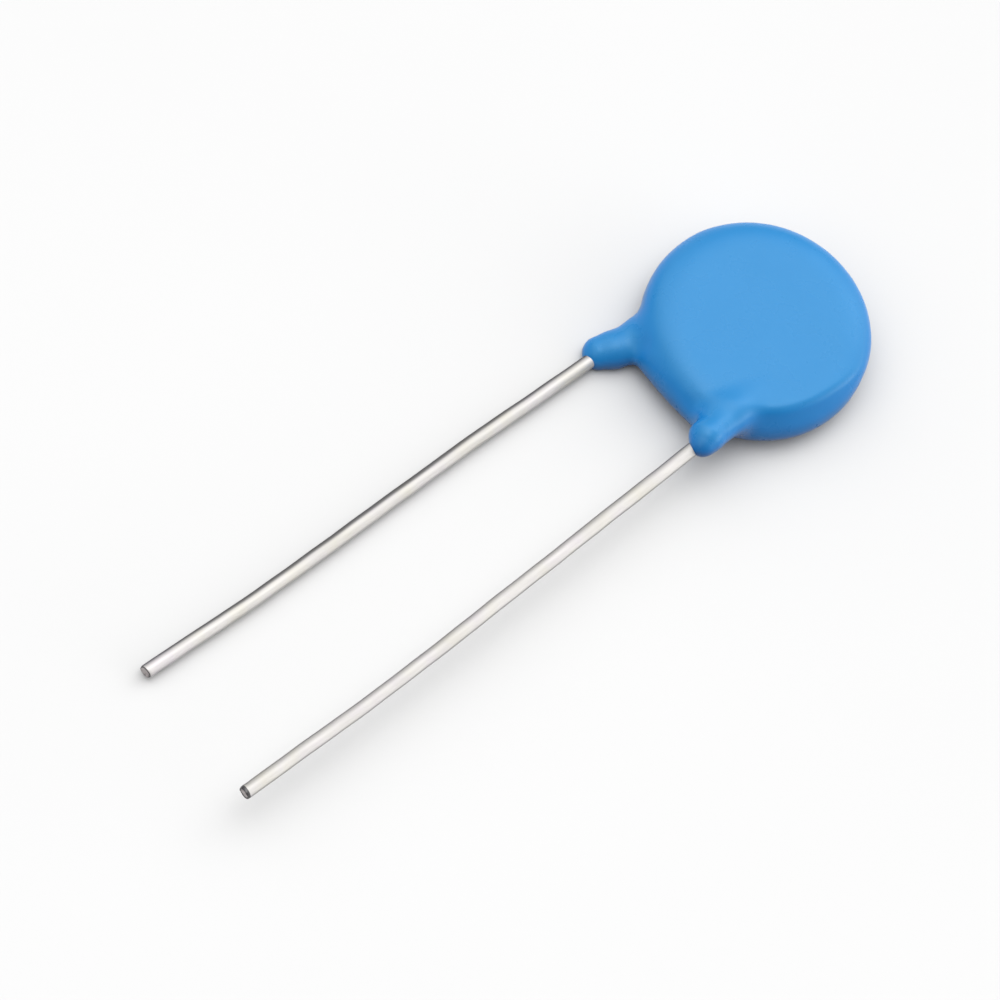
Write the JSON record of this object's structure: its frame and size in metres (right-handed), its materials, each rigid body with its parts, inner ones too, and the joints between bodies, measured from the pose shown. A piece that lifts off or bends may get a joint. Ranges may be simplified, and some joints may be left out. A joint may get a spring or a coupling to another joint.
{
  "type": "disc varistor",
  "caption": "Radial-lead disc varistor: a blue epoxy-dipped zinc oxide disc with coated legs and two long tinned wire leads, clamping surges across a circuit.",
  "frame": {"origin": "centre of the disc on its flat rear face, which is the plane it lies on", "axes": "+Z is the disc axis, out of the front face; the leads run towards -Y; +X is towards the front lead"},
  "size_m": [0.0122, 0.0455, 0.0038],
  "materials": {
    "epoxy": "glossy dipped epoxy, slightly waxy",
    "zinc_oxide": "matt sintered zinc oxide",
    "silver": "matt fired silver",
    "solder": "dull tin solder",
    "tinned_wire": "bright tinned copper wire"
  },
  "bodies": {
    "root": {"epoxy_coating": "epoxy", "ceramic_disc": "zinc_oxide", "front_electrode": "silver", "rear_electrode": "silver", "front_solder": "solder", "rear_solder": "solder", "front_lead": "tinned_wire", "rear_lead": "tinned_wire"}
  },
  "joints": []
}
